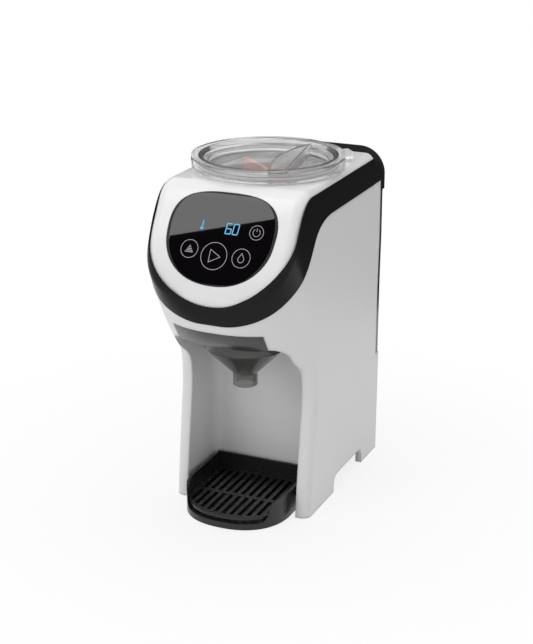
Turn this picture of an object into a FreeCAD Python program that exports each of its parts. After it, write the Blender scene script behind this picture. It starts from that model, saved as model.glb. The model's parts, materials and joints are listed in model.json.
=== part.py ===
"""Counter-top baby formula maker, in millimetres.

Seen from the front, +X is to the right, -Y is the front and +Z is up. In the script Y counts from the
axis of the round powder container. The files are moved so that the origin is on the floor under the
middle of the whole machine.
"""
import FreeCAD, Part
import math
import os

Vector = FreeCAD.Vector
X_AXIS = Vector(1, 0, 0)
Y_AXIS = Vector(0, 1, 0)
Z_AXIS = Vector(0, 0, 1)
FAR = 400.0

# ---------------------------------------------------------------- driving dimensions
# fits
seam = 0.3
shaft_clearance = 0.05

# outer body
top_z = 300.0
wall = 2.5
shelf_z = 101.0
edge_radius = 9.0
floor_gap = 0.8
middle_y = -5.6
form_step = 8.0
form_evening = (-8, -6, -4, -2, 0, 2, 4, 6, 8)

# powder container
container_radius = 57.0
container_wall = 2.0
container_depth = 94.0
container_floor = 2.5
container_flange = 2.6
collar_wall = 6.9
collar_height = 1.2
collar_bore = container_radius + seam
collar_radius = collar_bore + collar_wall
flange_radius = collar_radius + 1.0
container_floor_z = top_z - container_depth
collar_base_z = top_z - 6.0
collar_low_z = top_z - 16.0
flange_z = top_z + collar_height + seam
seat_z = flange_z + container_flange

# width of the body, and its length behind the container's axis
crown_margin = 2.8
body_half_width = collar_radius + crown_margin
fascia_back_y = 84.0
tank_front_y = fascia_back_y + 1.0
tank_slim_depth = 18.0
side_wall_back_y = tank_front_y + tank_slim_depth
tank_back_depth = 7.6
body_back_y = side_wall_back_y + tank_back_depth

# plan of the columns at a few heights: height, side inset, corner width, where the round corner
# starts, front
column_levels = [(0, 1.7, 7.8, -54.0, -61.8), (40, 1.5, 8.0, -49.6, -57.4), (80, 1.2, 8.0, -43.6, -51.5),
                 (115, 1.0, 8.0, -39.8, -47.6)]
# plan of the head at a few depths below the top: depth, side inset, half of the straight front,
# where the round corner starts and the front, both counted forward from the collar
head_levels = [(162, 0.9, 54.0, -23.7, -12.2), (148, 0.8, 34.0, -20.2, 15.8), (131, 0.7, 4.0, -9.5, 40.5),
               (116, 0.5, 4.0, 0.1, 50.1), (100, 0.3, 14.0, 8.8, 56.3), (84, 0.0, 33.0, 11.8, 57.3),
               (68, 0.0, 40.0, 14.8, 61.8), (50, 0.0, 45.0, 17.8, 65.8), (-4, 0.0, 45.0, 17.8, 65.8)]
# side view of the crown, the sloped face and the nose: forward from the collar, depth below the top
face_points = [(-4.2, 0), (5.8, 1.6), (11.8, 5.0), (23.3, 20), (34.3, 37.9), (44.8, 55.5), (53.8, 73),
               (57.4, 86), (59.8, 100)]
# side view of the lower edge of the black trim, counted the same way
trim_edge_points = [(-44.2, 28.5), (-28.2, 30.7), (-19.9, 33.8), (-11.5, 39.5), (-4.7, 47.5), (6.5, 61.5),
                    (19.8, 71.5), (36.8, 83), (45.8, 93), (52.8, 103.5), (56.8, 111), (62.8, 120)]

# joint between white fascia and black trim, seen along the 45 degree line
fascia_inset = 0.7
fascia_half_width = body_half_width - fascia_inset
fascia_round_reach = 41.7
fascia_round_depth = 63.0
fascia_roundness = 2.15
trim_proud_side = 1.0
trim_proud_face = 2.4
trim_edge_radius = 10.0
crown_blend = 20.0

# control panel
face_slope = math.radians(58.6)
panel_top_y = -collar_radius - 12.2
panel_top_z = top_z - 4.6
panel_half_width = 49.0
panel_lower_height = 45.0
panel_upper_height = 35.4
panel_thickness = 1.8
panel_ledge = 4.0
board_thickness = 1.6
display_half_width = 24.0
display_low = -1.0
display_high = 15.0
display_depth = 5.0

# dosing wheel and stirrer
wheel_radius = container_radius - container_wall - 2.0
wheel_thickness = 10.0
pocket_radius = 8.0
pocket_circle = wheel_radius - 17.0
pocket_count = 6
outlet_radius = pocket_radius + 0.5
wheel_boss_radius = 8.0
wheel_hub_radius = 12.0
wheel_hub_height = 5.0
square_half = 5.0
square_height = 10.0
stirrer_hub_radius = 9.0
wheel_z = container_floor_z + container_floor + seam
guard_z = wheel_z + wheel_thickness + seam
stirrer_radius = wheel_radius - 5.0
stirrer_top_z = top_z - 3.0
stirrer_arms = 3

# lid
lid_rim_wall = 1.7
lid_rise = 7.9
lid_wall = 2.0
lid_radius = flange_radius + seam + lid_rim_wall
lid_top_z = seat_z + lid_rise
lid_skirt_z = seat_z + seam - 1.5
lid_step = 0.5
lid_step_depth = 4.2
dish_z = top_z + 1.0
dish_radius = container_radius + 1.3
dish_shoulder_z = seat_z + 2.1
dish_shoulder_radius = container_radius - container_wall - 2.8
dish_floor_radius = dish_shoulder_radius - 1.2
seal_inner_radius = container_radius + 0.5
seal_width = 3.5
seal_height = 1.4
grip_arc_radius = 137.0
grip_left_x = 9.0
grip_width = 17.3
grip_y = 8.0
grip_lean = 10.4
grip_edge_radius = 0.8
tab_length = 9.0
tab_width = 12.0
tab_turn = 42.0

# powder drive
deck_thickness = 3.0
deck_gap = 4.0
deck_z = container_floor_z - deck_gap - deck_thickness
deck_front_y = -70.0
dock_wall_y = fascia_back_y - 2.8
gear_module = 1.0
gear_teeth = 46
pinion_teeth = 16
gear_thickness = 7.0
gear_gap = 2.0
gear_z = deck_z - gear_gap - gear_thickness
tooth_thinning = 0.10
drive_hex = 9.0
hex_depth = 9.5
hex_z = deck_z + deck_thickness + 2.0
drive_shaft_radius = 4.0
bush_radius = drive_shaft_radius + 2.5
plate_thickness = 3.0
plate_z = gear_z - plate_thickness - 1.4
axle_bottom_z = plate_z + 0.2
gear_tip_radius = gear_module * (gear_teeth / 2 + 1)
motor_y = gear_module * (gear_teeth + pinion_teeth) / 2
motor_radius = 16.0
motor_length = 48.0
motor_shaft_radius = 2.5
motor_screw_x = 11.0
post_radius = 3.2
post_x = gear_tip_radius - 2.0
plate_posts = [(x, y) for y in (5.0 - gear_tip_radius, motor_y + 16.0) for x in (-post_x, post_x)]

# funnel drawer
funnel_y = -50.0
funnel_radius = 36.0
funnel_wall = 1.8
funnel_front_height = 16.6
funnel_top_z = plate_z - 2.0
funnel_bottom_z = funnel_top_z - funnel_front_height
spout_radius = 10.8
spout_length = 11.0
spout_top_z = funnel_top_z - 56.6
spout_bottom_z = spout_top_z - spout_length
chute_z = funnel_top_z + 1.0
runner_half_width = funnel_radius + 4.8
funnel_half_width = runner_half_width + 0.4
runner_front_y = funnel_y - 34.0
runner_back_y = funnel_y + 34.0
rail_flange_z = funnel_top_z - 7.6
rail_flange_thickness = 3.0
slot_back_y = funnel_y + 42.0
magnet_radius = 2.5
magnet_x = 25.0
magnet_y = runner_back_y - 3.0

# bottle bay
column_width = 13.8
bay_half_width = body_half_width - column_width
bay_back_y = -2.0
bay_top_z = funnel_bottom_z + 1.0
bay_arch_radius = 11.0
bay_corner_radius = 10.0

# drip tray
tray_half_width = bay_half_width - 5.2
tray_round_y = -58.0
tray_round_depth = 48.5
tray_roundness = 2.3
tray_back_y = bay_back_y - 4.0
tray_wall = 2.2
tray_side_height = 25.0
tray_lip_height = 6.5
grille_z = 9.0
grille_thickness = 2.4
guide_front_y = tray_back_y - 40.0
guide_back_y = tray_back_y - 4.0
guide_z = 14.0
slot_pitch = 7.5
slot_half_width = 1.9

# base and the hand holes in its sides
base_plate_z = 18.0
base_plate_thickness = 2.5
base_top_z = base_plate_z + base_plate_thickness
foot_thickness = 2.0
front_foot_radius = 3.3
back_foot_radius = 6.0
feet = [(side * (body_half_width - 7.75), -48.0, front_foot_radius) for side in (-1, 1)]
feet += [(side * (body_half_width - 13.0), body_back_y - 12.6, back_foot_radius) for side in (-1, 1)]
hand_hole_front_y = 0.0
hand_hole_back_y = fascia_back_y - 13.0
hand_hole_height = base_plate_z - 1.5
hand_hole_radius = 9.0
hand_hole_depth = 7.3
hand_hole_lining = 1.4
screw_radius = 1.5
screw_head_radius = 2.8
screw_head_height = 1.6
boss_x = body_half_width - 7.6
boss_ys = (4.8, fascia_back_y - 4.0)
boss_radius = 3.5
boss_height = 12.0

# water tank and its valve
tank_half_width = body_half_width - 5.0
tank_wall = 2.0
tank_lid_seam_z = top_z - 38.0
tank_rim_z = top_z - 7.0
tank_edge_radius = 2.0
cap_wall = 2.5
cap_back_radius = 25.0
cap_edge_radius = 1.5
well_half_width = tank_half_width + 1.0
neck_half_width = tank_half_width - 8.0
neck_back_y = side_wall_back_y + 1.0
valve_x = 30.0
valve_y = tank_front_y + 10.0
cup_radius = 8.0
cup_z = shelf_z - 15.0
cup_port_x = valve_x + 4.6
nipple_radius = 1.8
nozzle_radius = 6.5
nozzle_bore = 4.2
nozzle_z = shelf_z - 7.0
stem_bottom_z = nozzle_z + 0.5
valve_disc_z = shelf_z + seam + tank_wall + 0.1
valve_disc_radius = 5.8
cage_top_z = valve_disc_z + 14.6
cage_radius = 7.8
spring_wire = 0.45

# pump, heater and hoses
pump_x = -4.0
pump_y = 62.0
pump_z = base_top_z + 19.5
pump_radius = 12.0
pump_head = pump_radius + 1.0
board_x = body_half_width - 7.0
heater_x = board_x - 24.0
heater_y = 27.0
heater_z = base_top_z + 21.5
heater_height = 78.0
heater_top_z = heater_z + heater_height
heater_half_width = 14.0
heater_half_depth = 9.0
heater_ports = (heater_x - 9.0, heater_x + 9.0)
element_radius = 4.0
nozzle_x = 22.0
hose_level_z = deck_z - 7.5
hose_radius = 3.2

# electrics
inlet_x = -35.0
inlet_half_width = 12.0
inlet_z = base_top_z + 11.5
inlet_height = 15.0
board_low_z = base_top_z + 5.5
board_front_y = 12.0
board_back_y = dock_wall_y - 5.2
power_board_height = 70.0
main_board_height = 90.0


# ---------------------------------------------------------------- helpers
def box(x0, x1, y0, y1, z0, z1):
    return Part.makeBox(x1 - x0, y1 - y0, z1 - z0, Vector(x0, y0, z0))


def cylinder(radius, height, x, y, z, direction=Z_AXIS):
    return Part.makeCylinder(radius, height, Vector(x, y, z), direction)


def tube(outer, inner, height, x, y, z, direction=Z_AXIS):
    return cylinder(outer, height, x, y, z, direction).cut(cylinder(inner, height, x, y, z, direction))


def fuse(shapes):
    first, *rest = shapes
    return first.multiFuse(rest).removeSplitter() if rest else first


def spline(points):
    curve = Part.BSplineCurve()
    curve.interpolate(points)
    return curve.toShape()


def mirrored(shape):
    """The shape and its mirror image across the machine's middle plane."""
    return [shape, shape.mirror(Vector(0, 0, 0), X_AXIS)]


def smooth(levels, column, z):
    """Value of one column of a table of levels at height z, by a monotone cubic."""
    zs = [level[0] for level in levels]
    values = [level[column] for level in levels]
    slopes = [(values[i + 1] - values[i]) / (zs[i + 1] - zs[i]) for i in range(len(zs) - 1)]
    tangents = [slopes[0]]
    for before, after in zip(slopes, slopes[1:]):
        tangents.append(0 if before * after <= 0 else 2 * before * after / (before + after))
    tangents.append(slopes[-1])
    i = min(len(zs) - 2, max(0, sum(1 for level in zs[1:] if z > level)))
    h = zs[i + 1] - zs[i]
    t = (z - zs[i]) / h
    return ((2 * t ** 3 - 3 * t ** 2 + 1) * values[i] + (t ** 3 - 2 * t ** 2 + t) * h * tangents[i]
            + (-2 * t ** 3 + 3 * t ** 2) * values[i + 1] + (t ** 3 - t ** 2) * h * tangents[i + 1])


form_levels = [(z, body_half_width - inset, body_half_width - inset - corner, corner_y, front_y)
               for z, inset, corner, corner_y, front_y in column_levels]
form_levels += [(top_z - depth, body_half_width - inset, straight, -collar_radius - corner_y,
                 -collar_radius - front_y) for depth, inset, straight, corner_y, front_y in head_levels]


def form_level(column, z):
    """A column of the form's levels, evened out over a short height."""
    top = form_levels[-1][0]
    heights = [min(top, max(0, z + shift)) for shift in form_evening]
    return sum(smooth(form_levels, column, height) for height in heights) / len(heights)


def plan_wire(z, offset):
    half_width = form_level(1, z) + offset
    straight = form_level(2, z)
    corner_y = form_level(3, z)
    front_y = form_level(4, z) - offset
    back_y = body_back_y + offset

    def corner(side):
        quarter = Part.BezierCurve()
        quarter.setPoles([Vector(side * half_width, corner_y, z), Vector(side * half_width, front_y, z),
                          Vector(side * straight, front_y, z)])
        quarter.setWeight(2, math.sqrt(0.5))
        return quarter.toShape()

    return Part.Wire(Part.__sortEdges__([
        Part.makeLine(Vector(-half_width, back_y, z), Vector(half_width, back_y, z)),
        Part.makeLine(Vector(half_width, back_y, z), Vector(half_width, corner_y, z)),
        corner(1),
        Part.makeLine(Vector(straight, front_y, z), Vector(-straight, front_y, z)),
        corner(-1),
        Part.makeLine(Vector(-half_width, corner_y, z), Vector(-half_width, back_y, z))]))


def plan_form(offset):
    """The body's outer form before its top is shaped, grown by offset."""
    height = form_levels[-1][0]
    count = round(height / form_step)
    return Part.makeLoft([plan_wire(height * i / count, offset) for i in range(count + 1)], True, False)


def side_block(points):
    """A block across the whole width under a line of side view points, for cutting the form."""
    points = [(-collar_radius - forward, top_z - depth) for forward, depth in points]
    bottom = -20.0
    y_back, y_front = FAR, -FAR
    shape = [Vector(-FAR, y_back, points[0][1]), Vector(-FAR, points[0][0], points[0][1])]
    last = Vector(-FAR, points[-1][0], points[-1][1])
    edges = [Part.makeLine(shape[0], shape[1]),
             spline([Vector(-FAR, y, z) for y, z in points]),
             Part.makeLine(last, Vector(-FAR, y_front, last.z)),
             Part.makeLine(Vector(-FAR, y_front, last.z), Vector(-FAR, y_front, bottom)),
             Part.makeLine(Vector(-FAR, y_front, bottom), Vector(-FAR, y_back, bottom)),
             Part.makeLine(Vector(-FAR, y_back, bottom), shape[0])]
    return Part.Face(Part.Wire(edges)).extrude(Vector(2 * FAR, 0, 0))


def face_normal_shift(distance):
    return Vector(0, -math.sin(face_slope) * distance, math.cos(face_slope) * distance)


def body_form(offset, face_offset, crown_offset, radius):
    """Outer form of the body with its crown and sloped face; the long top edges are rounded."""
    points = []
    for forward, depth in face_points:
        grown = crown_offset + (face_offset - crown_offset) * min(1, depth / crown_blend)
        shift = face_normal_shift(grown)
        points.append((forward - shift.y, depth - (grown if depth < 1 else shift.z)))
    form = plan_form(offset).common(side_block(points))
    edges = []
    for edge in form.Edges:
        bounds = edge.BoundBox
        side_edge = max(abs(bounds.XMin), abs(bounds.XMax)) > fascia_half_width - 5
        if side_edge and bounds.XMin * bounds.XMax >= 0 and bounds.ZMin > top_z - 95 and bounds.YLength > 5:
            edges.append(edge)
        if bounds.YMin > body_back_y - 5 and bounds.ZMin > top_z - 10:
            edges.append(edge)
    return form.makeFillet(radius, edges)


def fascia_column(inset):
    """Prism along the 45 degree line that separates the white fascia from the black trim."""
    half_width = fascia_half_width - inset
    start = (top_z - collar_radius) * math.sqrt(0.5) - fascia_round_reach
    depth = fascia_round_depth - inset
    steps = 16
    front = []
    for i in range(steps + 1):
        angle = math.pi * i / steps
        c, s = math.cos(angle), math.sin(angle)
        x = math.copysign(abs(c) ** (2 / fascia_roundness), c) * half_width
        front.append((x, start - depth * abs(s) ** (2 / fascia_roundness)))
    root = math.sqrt(0.5)

    def place(x, w):
        return Vector(x, w * root + FAR * root / 2, w * root - FAR * root / 2)

    far_w = 420.0
    edges = [spline([place(x, w) for x, w in front]),
             Part.makeLine(place(-half_width, start), place(-half_width, far_w)),
             Part.makeLine(place(-half_width, far_w), place(half_width, far_w)),
             Part.makeLine(place(half_width, far_w), place(half_width, start))]
    face = Part.Face(Part.Wire(edges))
    return face.extrude(Vector(0, -1, 1).multiply(FAR))


def bay_block(grow):
    """The bottle bay between the columns, with an arched ceiling and rounded back corners."""
    half, top, back = bay_half_width + grow, bay_top_z + grow, bay_back_y + grow
    block = box(-half, half, -FAR, back, -20, top)
    block = block.makeFillet(bay_arch_radius + grow, [
        edge for edge in block.Edges if edge.BoundBox.YLength > 100 and edge.BoundBox.ZMin > top - 1])
    return block.makeFillet(bay_corner_radius + grow, [
        edge for edge in block.Edges if edge.BoundBox.ZLength > 100 and edge.BoundBox.YMin > back - 1])


def round_edges(shape, radius, choose):
    """Rounds the edges whose bounding box passes choose."""
    return shape.makeFillet(radius, [edge for edge in shape.Edges if choose(edge.BoundBox)])


def upright(bounds):
    return bounds.ZLength > 10 * (bounds.XLength + bounds.YLength)


def hand_hole_block(grow):
    top = hand_hole_height + grow
    block = box(-FAR, FAR, hand_hole_front_y - grow, hand_hole_back_y + grow, -20, top)
    return round_edges(block, hand_hole_radius + grow, lambda b: b.XLength > 100 and b.ZMin > top - 1)


def cap_form(inset):
    """Form of the tank's cap, whose shoulders get rounder towards the back."""
    root = math.sqrt(0.5)
    half = body_half_width + trim_proud_side - inset
    top = top_z - inset
    sections = []
    for y, round_radius in ((fascia_back_y, trim_edge_radius),
                            (body_back_y + trim_proud_side - inset, cap_back_radius)):
        radius = round_radius - inset
        x, z = half - radius, top - radius
        edges = [Part.makeLine(Vector(-half, y, 0), Vector(-half, y, z)),
                 Part.Arc(Vector(-half, y, z), Vector(-x - radius * root, y, z + radius * root),
                          Vector(-x, y, top)).toShape(),
                 Part.makeLine(Vector(-x, y, top), Vector(x, y, top)),
                 Part.Arc(Vector(x, y, top), Vector(x + radius * root, y, z + radius * root),
                          Vector(half, y, z)).toShape(),
                 Part.makeLine(Vector(half, y, z), Vector(half, y, 0)),
                 Part.makeLine(Vector(half, y, 0), Vector(-half, y, 0))]
        sections.append(Part.Wire(edges))
    return Part.makeLoft(sections, True, True)


def panel_prism(inset, depth_in, depth_out):
    """Prism square to the face with the control panel's outline, from depth_in below the face."""
    half = panel_half_width - inset
    points = []
    steps = 12
    for i in range(2 * steps):
        angle = 2 * math.pi * i / (2 * steps)
        c, s = math.cos(angle), math.sin(angle)
        roundness = 2.8 if s > 0 else 2.2
        height = (panel_upper_height if s > 0 else panel_lower_height) - inset
        x = math.copysign(abs(c) ** (2 / roundness), c) * half
        points.append((x, math.copysign(abs(s) ** (2 / roundness), s) * height))
    up = Vector(0, math.cos(face_slope), math.sin(face_slope))
    normal = Vector(0, -math.sin(face_slope), math.cos(face_slope))
    centre = Vector(0, panel_top_y, panel_top_z) - up * panel_upper_height
    curve = Part.BSplineCurve()
    curve.interpolate([centre + X_AXIS * x + up * v - normal * depth_in for x, v in points],
                      PeriodicFlag=True)
    return Part.Face(Part.Wire(curve.toShape())).extrude(normal * (depth_in + depth_out))


def face_place(shape):
    """Moves a shape from face coordinates (x right, y up the face, z out) to the control panel."""
    up = Vector(0, math.cos(face_slope), math.sin(face_slope))
    centre = Vector(0, panel_top_y, panel_top_z) - up * panel_upper_height
    return shape.rotated(Vector(0, 0, 0), X_AXIS, math.degrees(face_slope)).translated(centre)


def hose(points, bend, outer_radius, inner_radius):
    """A hose along straight runs joined by round bends."""
    points = [Vector(*p) for p in points]
    edges = []
    start = points[0]
    for before, corner, after in zip(points, points[1:], points[2:]):
        arriving = (corner - before).normalize()
        leaving = (after - corner).normalize()
        half_turn = arriving.getAngle(leaving) / 2
        cut = bend * math.tan(half_turn)
        first, last = corner - arriving * cut, corner + leaving * cut
        middle_way = (leaving - arriving).normalize()
        middle = corner + middle_way * (bend / math.cos(half_turn) - bend)
        edges.append(Part.makeLine(start, first))
        edges.append(Part.Arc(first, middle, last).toShape())
        start = last
    edges.append(Part.makeLine(start, points[-1]))
    path = Part.Wire(edges)
    direction = points[1] - points[0]

    def sweep(radius):
        ring = Part.Wire(Part.makeCircle(radius, points[0], direction))
        return path.makePipeShell([ring], True, False)

    return sweep(outer_radius).cut(sweep(inner_radius))


def gear(teeth, z, height, bore):
    """Involute spur gear on the Z axis; its first tooth points along +X."""
    pitch_radius = gear_module * teeth / 2
    pressure = math.radians(20)
    base_radius = pitch_radius * math.cos(pressure)
    tip_radius = pitch_radius + gear_module
    root_radius = pitch_radius - 1.25 * gear_module
    half_tooth = math.pi / (2 * teeth) - tooth_thinning / pitch_radius
    involute_at_pitch = math.tan(pressure) - pressure

    def flank_angle(radius):
        angle = math.acos(min(1.0, base_radius / radius))
        return half_tooth + involute_at_pitch - (math.tan(angle) - angle)

    first_radius = max(base_radius, root_radius)
    flank = [first_radius + (tip_radius - first_radius) * k / 4 for k in range(5)]
    points = []
    for i in range(teeth):
        middle = 2 * math.pi * i / teeth
        side = [(root_radius, flank_angle(first_radius))] if root_radius < base_radius else []
        side += [(r, flank_angle(r)) for r in flank]
        for r, a in side:
            points.append(Vector(r * math.cos(middle - a), r * math.sin(middle - a), z))
        for r, a in reversed(side):
            points.append(Vector(r * math.cos(middle + a), r * math.sin(middle + a), z))
    blank = Part.Face(Part.makePolygon(points + points[:1])).extrude(Vector(0, 0, height))
    return blank.cut(cylinder(bore, height, 0, 0, z))


def hex_bar(flats, z, height):
    corner = flats / math.sqrt(3)
    points = [Vector(corner * math.cos(math.pi * k / 3), corner * math.sin(math.pi * k / 3), z)
              for k in range(7)]
    return Part.Face(Part.makePolygon(points)).extrude(Vector(0, 0, height))


def screw(x, y, z, length, direction=Z_AXIS):
    """Pan head screw whose head's underside is at (x, y, z)."""
    head = cylinder(screw_head_radius, screw_head_height, x, y, z, direction * -1)
    recess = cylinder(screw_head_radius / 2.2, screw_head_height / 2, x, y, z, direction * -1)
    recess.translate(direction * (-screw_head_height / 2))
    return head.cut(recess).fuse(cylinder(screw_radius, length, x, y, z, direction))


def tray_wire(inset, z):
    half = tray_half_width - inset
    depth = tray_round_depth - inset
    steps = 12
    front = []
    for i in range(steps + 1):
        angle = math.pi * i / steps
        c, s = math.cos(angle), math.sin(angle)
        x = math.copysign(abs(c) ** (2 / tray_roundness), c) * half
        front.append(Vector(x, tray_round_y - depth * abs(s) ** (2 / tray_roundness), z))
    back = tray_back_y - inset
    return Part.Wire([spline(front), Part.makeLine(front[-1], Vector(-half, back, z)),
                      Part.makeLine(Vector(-half, back, z), Vector(half, back, z)),
                      Part.makeLine(Vector(half, back, z), front[0])])


def tray_prism(inset, z0, z1):
    return Part.Face(tray_wire(inset, z0)).extrude(Vector(0, 0, z1 - z0))


# ---------------------------------------------------------------- shared shapes
trim_block = side_block(trim_edge_points)
outer = body_form(0, 0, 0, edge_radius)
inner = body_form(-wall, -wall, -wall, edge_radius - wall)
trim_outer = body_form(trim_proud_side, trim_proud_face, 0, trim_edge_radius)
above_trim_edge = box(-FAR / 2, FAR / 2, -FAR / 2, FAR / 2, 0, FAR).cut(trim_block)
fascia_inside = fascia_column(seam / 2)
fascia_hole = fascia_column(-seam / 2)
bay = bay_block(0)
bay_lining = bay_block(wall)
parts = {}


# ---------------------------------------------------------------- body shells
def main_housing():
    """White housing: side walls, columns, nose and bay lining, open at the top, back and bottom."""
    shell = outer.cut(bay).cut(inner.cut(bay_lining)).common(trim_block)
    behind_walls = box(-FAR, FAR, side_wall_back_y, FAR, shelf_z, FAR)
    tank_well = box(-well_half_width, well_half_width, fascia_back_y, FAR, shelf_z - wall, FAR)
    funnel_slot = box(-funnel_half_width - seam, funnel_half_width + seam, -FAR,
                      slot_back_y, funnel_bottom_z - 30, funnel_top_z + seam)
    shell = shell.cut(behind_walls).cut(tank_well).cut(funnel_slot)
    shell = shell.cut(hand_hole_block(0)).cut(box(-FAR, FAR, -FAR, FAR, -20, floor_gap))
    shell = shell.cut(box(inlet_x - inlet_half_width - seam, inlet_x + inlet_half_width + seam,
                          body_back_y - 10, FAR, inlet_z - seam, inlet_z + inlet_height + seam))
    guides = [box(tray_half_width + 1.2, bay_half_width + 0.5, guide_front_y, guide_back_y,
                  guide_z - 3, guide_z)]
    for y in boss_ys:
        guides.append(cylinder(boss_radius, boss_height, boss_x, y, base_top_z)
                      .common(plan_form(-wall / 2)))
    lining = hand_hole_block(hand_hole_lining).cut(hand_hole_block(0)).common(plan_form(-wall / 2))
    lining = lining.common(box(body_half_width - hand_hole_depth, FAR, -FAR, FAR, floor_gap, FAR))
    guides.append(lining.cut(cylinder(screw_head_radius + 0.5, base_plate_z, boss_x, boss_ys[0], 0)))
    shell = fuse([shell] + [g for guide in guides for g in mirrored(guide)])
    for y in boss_ys:
        for x in (-boss_x, boss_x):
            shell = shell.cut(cylinder(screw_radius, boss_height - 2, x, y, base_top_z))
    return shell


def trim_band():
    """Black trim that runs along both sides of the crown and under the face."""
    band = trim_outer.cut(inner).common(above_trim_edge).cut(fascia_hole)
    return band.cut(box(-FAR, FAR, fascia_back_y, FAR, 0, FAR))


def top_fascia():
    """White crown and face with the container's collar and the recess for the control panel."""
    fascia = outer.cut(inner).common(fascia_inside).common(above_trim_edge.translated(Z_AXIS * seam))
    fascia = fascia.cut(box(-FAR, FAR, fascia_back_y, FAR, 0, FAR))
    fascia = fascia.cut(box(-FAR, FAR, 0, FAR, 0, collar_low_z))
    collar = tube(collar_radius, collar_bore, top_z + collar_height - collar_base_z, 0, 0, collar_base_z)
    skirt = tube(collar_bore + wall, collar_bore, collar_base_z + 1 - collar_low_z, 0, 0, collar_low_z)
    fascia = fascia.fuse(collar).fuse(skirt).cut(cylinder(collar_bore, FAR, 0, 0, collar_low_z - 20))
    return fascia.cut(panel_prism(-seam, panel_thickness, 20)).cut(
        panel_prism(panel_ledge, 20, 20))


def base_plate():
    """Floor of the machine, with four legs that carry the rubber feet."""
    plate = inner.cut(bay_lining).common(box(-FAR, FAR, -FAR, FAR, base_plate_z, base_top_z))
    legs = []
    for x, y, radius in feet:
        legs.append(cylinder(radius, base_plate_z - foot_thickness + 1, x, y, foot_thickness))
    plate = fuse([plate] + legs)
    for y in boss_ys:
        for x in (-boss_x, boss_x):
            plate = plate.cut(cylinder(screw_radius + 0.2, 10, x, y, base_plate_z - 1))
    return plate


def rubber_feet():
    return Part.makeCompound([cylinder(radius, foot_thickness, x, y, 0) for x, y, radius in feet])


def base_screws():
    return Part.makeCompound([screw(x, y, base_plate_z, boss_height, Z_AXIS)
                              for y in boss_ys for x in (-boss_x, boss_x)])


# ---------------------------------------------------------------- control panel
def display_module():
    return face_place(box(-display_half_width, display_half_width, display_low, display_high,
                          -panel_thickness - display_depth, -panel_thickness))


def touch_board():
    board = panel_prism(panel_ledge + seam, panel_thickness + board_thickness, -panel_thickness)
    window = face_place(box(-display_half_width - seam, display_half_width + seam,
                            display_low - seam, display_high + seam, -20, 20))
    connector = face_place(box(-8, 8, -30, -24, -panel_thickness - board_thickness - 5,
                               -panel_thickness - board_thickness))
    return board.cut(window).fuse(connector)


# ---------------------------------------------------------------- powder container
def powder_container():
    """Clear cup with a floor, an outlet hole and a flange that rests on the collar."""
    height = seat_z - container_floor_z
    cup = cylinder(container_radius, height, 0, 0, container_floor_z)
    cup = cup.cut(cylinder(container_radius - container_wall, height, 0, 0,
                           container_floor_z + container_floor))
    flange = tube(flange_radius, container_radius - 1, container_flange, 0, 0, flange_z)
    cup = cup.fuse(flange)
    cup = cup.cut(cylinder(wheel_boss_radius + shaft_clearance, 10, 0, 0, container_floor_z - 1))
    return cup.cut(cylinder(outlet_radius, 10, 0, -pocket_circle, container_floor_z - 1))


def outlet_guard():
    """Plate over the outlet that lets only the powder in one pocket fall."""
    reach = container_radius - container_wall - 0.05
    half = pocket_radius + 6
    plate = box(-half, half, -reach - 1, -wheel_hub_radius - 3, guard_z, guard_z + 2)
    lug = box(-6, 6, -reach - 1, -reach + 2, guard_z, guard_z + 12)
    return plate.fuse(lug).common(cylinder(reach, 40, 0, 0, guard_z - 1))


def dosing_wheel():
    wheel = cylinder(wheel_radius, wheel_thickness, 0, 0, wheel_z)
    for k in range(pocket_count):
        angle = 2 * math.pi * k / pocket_count - math.pi / 2
        wheel = wheel.cut(cylinder(pocket_radius, 20, pocket_circle * math.cos(angle),
                                   pocket_circle * math.sin(angle), wheel_z - 1))
    top = wheel_z + wheel_thickness + wheel_hub_height
    hub = cylinder(wheel_hub_radius, wheel_hub_height, 0, 0, top - wheel_hub_height)
    boss = cylinder(wheel_boss_radius, wheel_z - container_floor_z - seam, 0, 0,
                    container_floor_z + seam)
    square = box(-square_half, square_half, -square_half, square_half, top, top + square_height)
    wheel = fuse([wheel, hub, boss, square])
    return wheel.cut(hex_bar(drive_hex + 2 * seam, container_floor_z, hex_depth))


def stirrer():
    """Coloured stirrer: a hub, low arms that sweep the wheel and high arms on a frame."""
    low_z = wheel_z + wheel_thickness + wheel_hub_height
    hole = square_half + 0.05
    hub = cylinder(stirrer_hub_radius, 22, 0, 0, low_z).fuse(cylinder(4, stirrer_top_z - low_z, 0, 0, low_z))
    pieces = [hub]
    for k in range(stirrer_arms):
        turn = 360 * k / stirrer_arms
        low_arm = box(0, stirrer_radius, -1.5, 1.5, low_z + 0.5, low_z + 7)
        high_arm = box(0, stirrer_radius, -1.5, 1.5, stirrer_top_z - 9, stirrer_top_z)
        post = box(stirrer_radius - 5, stirrer_radius, -1.5, 1.5, low_z + 0.5, stirrer_top_z)
        for piece in (low_arm, high_arm, post):
            pieces.append(piece.rotated(Vector(0, 0, 0), Z_AXIS, turn + 20))
    return fuse(pieces).cut(box(-hole, hole, -hole, hole, low_z, low_z + square_height + 0.1))


def grip_form(inset, low_z, high_z):
    """The grip's crescent, between a long arc and a straight line that leans to it."""
    arc = cylinder(grip_arc_radius - inset, high_z - low_z, grip_left_x + grip_arc_radius, grip_y, low_z)
    right_x = grip_left_x + grip_width - inset
    half_plane = box(right_x - FAR, right_x, -FAR, FAR, low_z, high_z)
    return arc.common(half_plane.rotated(Vector(right_x, grip_y, 0), Z_AXIS, grip_lean))


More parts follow.
